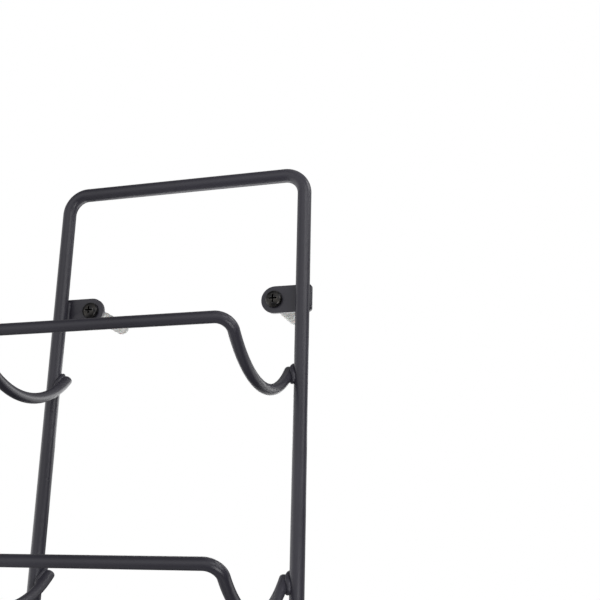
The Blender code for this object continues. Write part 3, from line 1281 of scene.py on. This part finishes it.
@dataclass
class WallTab:
    """A flat tab behind an upright, with its screw hole and the two beads that hold it."""

    sizes: RackSizes
    row: Row
    side: Side
    corner_r: float = 0.002
    hole_play: float = 0.0004
    edge_bevel: float = 0.00035
    bevel_segments: int = 3
    round_steps: int = 40
    fewest_steps: int = 6
    bead_length: float = 0.0125
    bead_r: float = 0.0014
    bead_pitch: float = 0.0010
    bead_in_share: float = 0.55
    bead_out_share: float = 0.8

    @property
    def label(self) -> str:
        """The row and side in the names of its pieces."""
        return f"{self.row.word}_{self.side.word}"

    def build(self, layer: BeadLayer, coat: Finish) -> None:
        """Make the plate and lay a bead down each groove.

        Args:
            layer: lays the beads.
            coat: the finish of all.
        """
        plate = self._moved(self._plate())
        show(f"tab_plate_{self.label}", plate, coat, [f"wall_tab_{self.label}"])
        for number, flank in enumerate(Flank):
            seed = 100.0 + 10 * self.row.value + 3 * self.side.value + number
            bead = layer.lay(self._groove(flank), self.bead_r, self.bead_pitch, False, seed)
            node = f"wall_tab_{self.label}_weld_{flank.word}"
            show(f"tab_bead_{self.label}_{flank.word}", self._moved(bead), coat, [node])

    def _moved(self, mesh: bpy.types.Mesh) -> bpy.types.Mesh:
        """Move a right-hand mesh at height 0 to this tab's side and row.

        Args:
            mesh: the mesh.

        Returns:
            It, or its mirror image, in its place.
        """
        sided = mesh if self.side is Side.RIGHT else mirrored(mesh)
        sided.transform(Matrix.Translation((0, 0, self.sizes.tab_z(self.row))))
        return sided

    def _plate(self) -> bpy.types.Mesh:
        """The plate with its hole and rounded edges.

        Returns:
            The right-hand plate at height 0.
        """
        made = bmesh.new()
        face = made.faces.new([made.verts.new(point) for point in self._outline()])
        grown = bmesh.ops.extrude_face_region(made, geom=[face])
        front = [part for part in grown["geom"] if isinstance(part, bmesh.types.BMVert)]
        bmesh.ops.translate(made, vec=(0, -self.sizes.tab_t, 0), verts=front)
        hole_r = self.sizes.screw_d / 2 + self.hole_play
        reach = 2 * self.sizes.tab_t
        profile = [(0, -reach), (hole_r, -reach), (hole_r, reach), (0, reach)]
        hole = turned(profile, self.round_steps)
        hole.transform(Matrix.Translation((self.sizes.hole_x, 0, 0)))
        return edged(cut(closed_mesh(made), [hole]), self.edge_bevel, self.bevel_segments)

    def _outline(self) -> list[Vector]:
        """The plate's outline in the wall plane: square behind the upright, round at the hole.

        Returns:
            Its points in order.
        """
        round_r = self.sizes.tab_height / 2
        points = self._arc(self.sizes.hole_x, 0, round_r, math.pi / 2, math.pi * 3 / 2)
        corner_x = self.sizes.upright_x + self.sizes.frame_rod_d / 2 - self.corner_r
        inset = round_r - self.corner_r
        points += self._arc(corner_x, -inset, self.corner_r, -math.pi / 2, 0)
        points += self._arc(corner_x, inset, self.corner_r, 0, math.pi / 2)
        return points

    def _arc(self, x: float, z: float, radius: float, start: float, end: float) -> list[Vector]:
        """Points on an arc in the wall plane.

        Args:
            x: its centre along X.
            z: its centre along Z.
            radius: its radius.
            start: the turn of its first point.
            end: the turn of its last point.

        Returns:
            The points.
        """
        steps = max(self.fewest_steps, round(self.round_steps * abs(end - start) / math.tau))
        turns = spread(start, end, steps)
        return [Vector((x + radius * math.cos(a), 0, z + radius * math.sin(a))) for a in turns]

    def _groove(self, flank: Flank) -> list[Vector]:
        """The line of a bead between the plate and one flank of the upright.

        Args:
            flank: which side of the upright.

        Returns:
            The line's two ends.
        """
        out = self.sizes.frame_rod_d / 2 - self.bead_r * self.bead_in_share
        x = self.sizes.upright_x + flank.value * out
        y = -self.sizes.tab_t - self.bead_r * self.bead_out_share
        half = self.bead_length / 2
        return [Vector((x, y, -half)), Vector((x, y, half))]


@dataclass
class HolePattern:
    """Puts one fastening in every tab hole."""

    sizes: RackSizes
    tree: ShapeTree = field(init=False)

    def __post_init__(self) -> None:
        """Build the tree: the same mesh on every point."""
        tree = ShapeTree("hole_pattern")
        fastening = tree.take("Fastening", "NodeSocketObject")
        inputs = {"Object": fastening, "As Instance": True}
        mesh = tree.wire("GeometryNodeObjectInfo", None, inputs, "Geometry")
        inputs = {"Points": tree.start, "Instance": mesh}
        tree.close(tree.wire("GeometryNodeInstanceOnPoints", None, inputs))
        self.tree = tree

    def fill(self, mesh: bpy.types.Mesh, y: float, finish: Finish) -> bpy.types.Mesh:
        """Repeat a mesh at the four holes.

        Args:
            mesh: the fastening, along +Y from the origin.
            y: how far out or in it goes.
            finish: what the fastening is coated with.

        Returns:
            All four as one mesh.
        """
        x, heights = self.sizes.hole_x, [self.sizes.tab_z(row) for row in Row]
        points = bpy.data.meshes.new("holes")
        points.from_pydata([(side.value * x, y, z) for z in heights for side in Side], [], [])
        model = placed("fastening", mesh)
        filled = self.tree.grow(points, {"Fastening": model, "Material": finish.material()})
        bpy.data.objects.remove(model, do_unlink=True)
        return filled

    @staticmethod
    def nodes(kind: str) -> list[str]:
        """The names of the four solids of a kind."""
        return [f"wall_{kind}_{row.word}_{side.word}" for row in Row for side in Side]


@dataclass
class WallScrew:
    """A pan head screw with a cross recess and a coarse thread.

    The recess's cutter is flared above the head and pointed below its foot. `recess_flare` holds
    the flare's height as a share of the head's, and its width as a share of the cross's.
    `recess_foot` holds the point's depth as a share of the recess's, and the foot's width.
    `thread_ends` says how steeply the thread grows out of the head and runs out at the point.
    """

    sizes: RackSizes
    length: float = 0.040
    core_d: float = 0.0034
    neck: float = 0.0006
    point: float = 0.006
    tip_share: float = 0.12
    tip_h: float = 0.0001
    head_d: float = 0.0098
    head_h: float = 0.0032
    head_edge: float = 0.0009
    head_fullness: float = 2.5
    head_rings: int = 16
    seat_edge: float = 0.00012
    recess_d: float = 0.0052
    recess_w: float = 0.0011
    recess_depth: float = 0.0019
    recess_flare: Pair = (1.3, 1.12)
    recess_foot: Pair = (1.25, 0.55)
    steps: int = 64
    pitch: float = 0.0022
    thread_steps: int = 40
    thread_sides: int = 4
    thread_inset: float = 0.0004
    thread_width_share: float = 0.42
    thread_ends: Pair = (40, 12)

    def build(self, pattern: HolePattern) -> None:
        """Make one screw, plate it and put it in every hole.

        Args:
            pattern: places the screws.
        """
        plating = BlackZinc(recess_d=self.recess_d, recess_w=self.recess_w, head_h=self.head_h)
        screw = self._thread(self._body())
        screws = pattern.fill(screw, -self.sizes.tab_t - self.sizes.touch, plating)
        show("wall_screws", screws, plating, pattern.nodes("screw"))

    def _body(self) -> bpy.types.Mesh:
        """Head and core, turned in one, with the cross recess cut in.

        Returns:
            The mesh, with each point's place on the screw kept for the wear round the recess.
        """
        head, core, soft = self.head_d / 2, self.core_d / 2, self.seat_edge
        fullness = 2 / self.head_fullness
        rise = self.head_h - self.head_edge
        dome = [
            (head * math.cos(turn) ** fullness, -self.head_edge - rise * math.sin(turn) ** fullness)
            for turn in spread(0, math.pi / 2, self.head_rings)[:-1]
        ]
        seat = [(head, -soft), (head - soft, 0), (self.sizes.screw_d / 2, 0), (core, self.neck)]
        shank = [
            (core, self.length - self.point),
            (core * self.tip_share, self.length - self.tip_h),
            (0, self.length),
        ]
        body = turned([(0, -self.head_h), *reversed(dome), *seat, *shank], self.steps)
        mesh = cut(body, [self._recess()])
        own = mesh.attributes.new("own_place", "FLOAT_VECTOR", "POINT")
        for number, vertex in enumerate(mesh.vertices):
            own.data[number].vector = vertex.co
        return mesh

    def _recess(self) -> bpy.types.Mesh:
        """The cutter of the cross: flared above the head, narrower towards its pointed foot.

        Returns:
            A closed mesh that stands proud of the head.
        """
        long, half = self.recess_d / 2, self.recess_w / 2
        quarter = [(half, -long), (half, -half), (long, -half)]
        cross = []
        for turn in range(4):
            c, s = math.cos(math.pi / 2 * turn), math.sin(math.pi / 2 * turn)
            cross += [(x * c - z * s, x * s + z * c) for x, z in quarter]
        (flare_height, flare), (foot_depth, foot) = self.recess_flare, self.recess_foot
        levels = [
            (-self.head_h * flare_height, flare),
            (-self.head_h, 1.0),
            (self.recess_depth - self.head_h, foot),
        ]
        made = bmesh.new()
        rings = [[made.verts.new((x * k, y, z * k)) for x, z in cross] for y, k in levels]
        walled(made, rings)
        made.faces.new(rings[0])
        tip = made.verts.new((0, self.recess_depth * foot_depth - self.head_h, 0))
        for number, vertex in enumerate(rings[-1]):
            made.faces.new((vertex, rings[-1][(number + 1) % len(cross)], tip))
        return closed_mesh(made)

    def _thread(self, body: bpy.types.Mesh) -> bpy.types.Mesh:
        """The thread wound on the core: a tree turns a helix into a sharp ridge.

        Args:
            body: head and core.

        Returns:
            Both as one mesh.
        """
        tree = ShapeTree("screw_thread")
        length, point = tree.take("Thread Length"), tree.take("Point Length")
        pitch, core = tree.take("Pitch"), tree.take("Core Diameter") / 2
        ridge = tree.take("Thread Diameter") / 2 - core
        inputs = {
            "Resolution": tree.whole("Steps"),
            "Rotations": length / pitch,
            "Start Radius": core,
            "End Radius": core,
            "Height": length,
        }
        helix = tree.wire("GeometryNodeCurveSpiral", None, inputs)
        x, y, z = tree.split(tree.position())
        left = ((length - z) / point).at_most(1).at_least(0)
        inputs = {"Geometry": helix, "Position": tree.join(x * left, y * left, z)}
        tapered = tree.wire("GeometryNodeSetPosition", None, inputs)
        upright = tree.wire("GeometryNodeSetCurveNormal", {"mode": "Z_UP"}, {"Curve": tapered})
        along = tree.along("Factor")
        run_in, run_out = self.thread_ends
        scale = (along * run_in).at_most(1) * ((1 - along) * run_out).at_most(1)
        section = tree.circle(self.thread_sides, ridge)
        inputs = {"Geometry": section, "Scale": (self.thread_width_share, 1.0, 1.0)}
        blade = tree.wire("GeometryNodeTransform", None, inputs)
        inputs = {
            "Geometry": tree.swept(upright, blade, scale),
            "Translation": (0, self.thread_inset, 0),
            "Rotation": (-math.pi / 2, 0, 0),
        }
        laid = tree.wire("GeometryNodeTransform", None, inputs)
        tree.close(tree.wire("GeometryNodeJoinGeometry", None, {"Geometry": [laid, tree.start]}))
        values = {
            "Thread Length": self.length - 2 * self.thread_inset,
            "Point Length": self.point,
            "Pitch": self.pitch,
            "Core Diameter": self.core_d,
            "Thread Diameter": self.sizes.screw_d,
            "Steps": self.thread_steps,
        }
        return tree.grow(body, values)


@dataclass
class WallPlug:
    """A nylon plug with a smooth collar, ridges that point back, a bore and a slot.

    `valley` holds the points between two ridges: how deep each lies, as a share of a ridge's
    height, and how far along, as a share of the way to the next ridge.
    """

    sizes: RackSizes
    sunk: float = 0.0025
    length: float = 0.040
    wall: float = 0.0012
    nose: float = 0.0035
    nose_taper: float = 0.0011
    end_wall: float = 0.0015
    collar: float = 0.0075
    mouth_flare: float = 0.0004
    mouth_depth: float = 0.0008
    mouth_proud: float = 0.001
    ridge: float = 0.0004
    ridges: int = 5
    valley: tuple[Pair, ...] = ((0.5, 0.03), (1.0, 0.13), (0.9, 0.3))
    crest_share: float = 0.3
    slot_w: float = 0.0012
    slot_margin: float = 0.003
    slot_end_steps: int = 8
    soft: float = 0.00012
    steps: int = 64

    @property
    def radius(self) -> float:
        """The plug's outer radius."""
        return self.sizes.screw_d / 2 + self.sizes.touch + self.wall

    def build(self, pattern: HolePattern, nylon: Finish) -> None:
        """Make one plug and put it behind every hole.

        Args:
            pattern: places the plugs.
            nylon: their finish.
        """
        plugs = pattern.fill(self._plug(), self.sunk, nylon)
        show("wall_plugs", plugs, nylon, pattern.nodes("plug"))

    def _plug(self) -> bpy.types.Mesh:
        """The turned body, bored and slotted.

        Returns:
            The plug along +Y from the origin.
        """
        bore, depth = self.radius - self.wall, self.length - self.end_wall
        flared, proud = bore + self.mouth_flare, -self.mouth_proud
        mouth = [(0, proud), (flared, proud), (flared, 0), (bore, self.mouth_depth)]
        hole = turned([*mouth, (bore, depth), (0, depth)], self.steps)
        return cut(turned(self._profile(), self.steps), [hole, self._slot()])

    def _profile(self) -> list[Pair]:
        """The outline that is turned: collar, saw-toothed ridges, nose.

        Returns:
            (radius, y) pairs.
        """
        outer, soft = self.radius, self.soft
        step = (self.length - self.collar - self.nose) / self.ridges
        profile = [(0, 0), (outer - soft, 0), (outer, soft), (outer, self.collar - soft)]
        for number in range(self.ridges):
            y = self.collar + number * step
            profile += [(outer - self.ridge * deep, y + step * far) for deep, far in self.valley]
            profile.append((outer - soft * self.crest_share, y + step - soft * 2))
            profile.append((outer, y + step - soft))
        tip = outer - self.nose_taper
        profile += [(tip + soft, self.length - soft * 2), (tip - soft, self.length)]
        return [*profile, (0, self.length)]

    def _slot(self) -> bpy.types.Mesh:
        """The slot's cutter: a bar with half-round ends.

        Returns:
            A closed mesh that reaches past the plug on both sides.
        """
        half, reach = self.slot_w / 2, 2 * self.radius
        first = self.collar + self.slot_margin + half
        last = self.length - self.nose - self.slot_margin - half
        outline = []
        for y, start in ((last, -math.pi / 2), (first, math.pi / 2)):
            turns = spread(start, start + math.pi, self.slot_end_steps)
            outline += [(y + half * math.cos(a), half * math.sin(a)) for a in turns]
        made = bmesh.new()
        rings = [[made.verts.new((x, y, z)) for y, z in outline] for x in (-reach, reach)]
        walled(made, rings)
        for ring in rings:
            made.faces.new(ring)
        return closed_mesh(made)


def heading(azimuth: float, elevation: float) -> Vector:
    """A direction seen from the rack.

    Args:
        azimuth: turn from the front towards the right, in degrees.
        elevation: turn upwards, in degrees.

    Returns:
        The direction, one metre long.
    """
    turn, rise = math.radians(azimuth), math.radians(elevation)
    flat = math.cos(rise)
    return Vector((math.sin(turn) * flat, -math.cos(turn) * flat, math.sin(rise)))


@dataclass(frozen=True)
class SoftGlow:
    """A wide soft patch of light far from the rack."""

    azimuth: float
    elevation: float
    narrowness: float
    strength: float

    def shade(self, x: Wire, y: Wire, z: Wire) -> Wire:
        """How bright the patch is in the direction looked in.

        Args:
            x: the direction's share along X.
            y: the direction's share along Y.
            z: the direction's share along Z.

        Returns:
            The patch's strength at its middle, falling smoothly to nothing round it.
        """
        middle = heading(self.azimuth, self.elevation)
        likeness = x * middle.x + y * middle.y + z * middle.z
        return ((likeness - 1) * self.narrowness).exponential() * self.strength


@dataclass(frozen=True)
class SoftBox:
    """One soft lamp, or one pale card that throws light back, near the rack."""

    name: str
    place: Triple
    power: float
    size: Pair = (0.35, 0.35)
    aim: Triple = (0.03, -0.02, 0.0)

    def hang(self) -> None:
        """Put the lamp in the scene."""
        lamp = bpy.data.lights.new(self.name, "AREA")
        lamp.shape = "RECTANGLE"
        lamp.size, lamp.size_y = self.size
        lamp.energy = self.power
        holder = placed(self.name, lamp)
        holder.visible_camera = False
        holder.location = self.place
        towards = Vector(self.aim) - Vector(self.place)
        holder.rotation_euler = towards.to_track_quat("-Z", "Y").to_euler()


@dataclass(frozen=True)
class PhotoCamera:
    """The camera, turned and placed so that the rack's edges fall where the photograph has them.

    It looks at its aim from a heading in degrees, and its roll is in degrees too.
    """

    focal_px: float = 943.79
    frame_px: float = 600.0
    sensor_mm: float = 36.0
    azimuth: float = 16.37
    elevation: float = -16.49
    roll: float = -1.16
    aim: Triple = (0.07454, -0.0068, -0.00260)
    distance: float = 0.5292
    clip: Pair = (0.01, 100.0)

    def stand(self) -> None:
        """Put the camera in the scene."""
        back = heading(self.azimuth, self.elevation)
        level = heading(self.azimuth + 90, 0)
        above, tilt = back.cross(level), math.radians(self.roll)
        right = math.cos(tilt) * level - math.sin(tilt) * above
        up = math.cos(tilt) * above + math.sin(tilt) * level
        lens = bpy.data.cameras.new("photo_camera")
        lens.sensor_width = self.sensor_mm
        lens.lens = self.focal_px / self.frame_px * self.sensor_mm
        lens.clip_start, lens.clip_end = self.clip
        camera = placed("photo_camera", lens)
        turn = Matrix((right, up, back)).transposed().to_4x4()
        camera.matrix_world = Matrix.Translation(Vector(self.aim) + self.distance * back) @ turn
        bpy.context.scene.camera = camera


@dataclass
class Studio:
    """Pale floor, white surround, soft light and the camera.

    A glow is given as azimuth, elevation, narrowness and strength. A lamp is given as name,
    place and power, and a card as its size and aim as well.
    """

    floor_z: float
    floor_r: float = 8.0
    floor_sides: int = 128
    surround: float = 1.0
    camera: PhotoCamera = PhotoCamera()
    glows: tuple[SoftGlow, ...] = (
        SoftGlow(-80, -15, 8, 1.57),
        SoftGlow(-110, 0, 8, 0.98),
        SoftGlow(-40, 0, 8, 0.38),
        SoftGlow(0, 20, 6, 0.94),
        SoftGlow(140, -15, 30, 1.21),
        SoftGlow(145, 22, 20, 0.90),
        SoftGlow(180, 60, 8, 0.37),
        SoftGlow(0, -90, 12, 0.57),
    )
    lamps: tuple[SoftBox, ...] = (
        SoftBox("right_lamp", (0.60, -0.20, 0.10), 0.652),
        SoftBox("upper_front_lamp", (0.50, -0.50, 0.35), 0.744),
        SoftBox("lower_front_lamp", (0.50, -0.50, -0.35), 1.411),
        SoftBox("upper_back_lamp", (0.60, 0.10, 0.50), 1.386),
        SoftBox("top_lamp", (0.15, -0.10, 0.50), 0.160),
        SoftBox("upper_card", (0, 0.12, -0.03), 0.185, (0.26, 0.10), TOP_BAR_MIDDLE),
        SoftBox("lower_card", (0, 0.09, -0.09), 0.051, (0.26, 0.08), TOP_BAR_MIDDLE),
    )

    def build(self, paper: Finish) -> None:
        """Lay the floor, light the scene and stand the camera.

        Args:
            paper: the floor's finish.
        """
        self._floor(paper)
        self._surround()
        for lamp in self.lamps:
            lamp.hang()
        self.camera.stand()
        bpy.context.scene.view_settings.view_transform = "Standard"
        LOG.info("studio: %d glows and %d lamps", len(self.glows), len(self.lamps))

    def _floor(self, paper: Finish) -> None:
        """Lay a round sheet of paper under the rack, which throws no light or shade on it.

        Args:
            paper: its finish.
        """
        made = bmesh.new()
        bmesh.ops.create_circle(made, cap_ends=True, segments=self.floor_sides, radius=self.floor_r)
        mesh = bpy.data.meshes.new("floor")
        made.to_mesh(mesh)
        made.free()
        mesh.transform(Matrix.Translation((0, 0, self.floor_z)))
        mesh.materials.append(paper.material())
        floor = placed("floor", mesh)
        floor.visible_diffuse = False
        floor.visible_glossy = False
        floor.visible_shadow = False
        floor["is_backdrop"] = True

    def _surround(self) -> None:
        """White to look at; as a light, a few wide glows that model the rods."""
        world = bpy.data.worlds.new("surround")
        world.use_nodes = True
        world.node_tree.nodes.clear()
        bench = Bench(world.node_tree)
        shares = bench.split(bench.wire("ShaderNodeTexCoord", None, None, "Generated"))
        first, *others = [glow.shade(*shares) for glow in self.glows]
        light = sum(others, first)
        seen = bench.wire("ShaderNodeLightPath", None, None, "Is Camera Ray")
        inputs = {"Strength": light + (self.surround - light) * seen, "Color": (1, 1, 1, 1)}
        sky = bench.wire("ShaderNodeBackground", None, inputs)
        bench.add("ShaderNodeOutputWorld", None, {"Surface": sky})
        bpy.context.scene.world = world


def clear_scene() -> None:
    """Remove every object that the open file holds."""
    for old in list(bpy.data.objects):
        bpy.data.objects.remove(old, do_unlink=True)


def main() -> None:
    """Load the frame, build each sub-assembly in order, and set the studio."""
    logging.basicConfig(level=logging.INFO, format="%(name)s %(message)s")
    clear_scene()
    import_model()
    solids_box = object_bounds()

    sizes = RackSizes()
    coat = PowderCoat()
    mill = RodMill()
    layer = BeadLayer()
    BackFrame(sizes).build(mill, layer, coat)
    for tier in range(sizes.tiers):
        Cradle(sizes, tier).build(mill, layer, coat)
    for row in Row:
        for side in Side:
            WallTab(sizes, row, side).build(layer, coat)
    pattern = HolePattern(sizes)
    WallScrew(sizes).build(pattern)
    WallPlug(sizes).build(pattern, MouldedNylon())
    Studio(floor_z=solids_box[0].z).build(PalePaper())


if __name__ == "__main__":
    main()
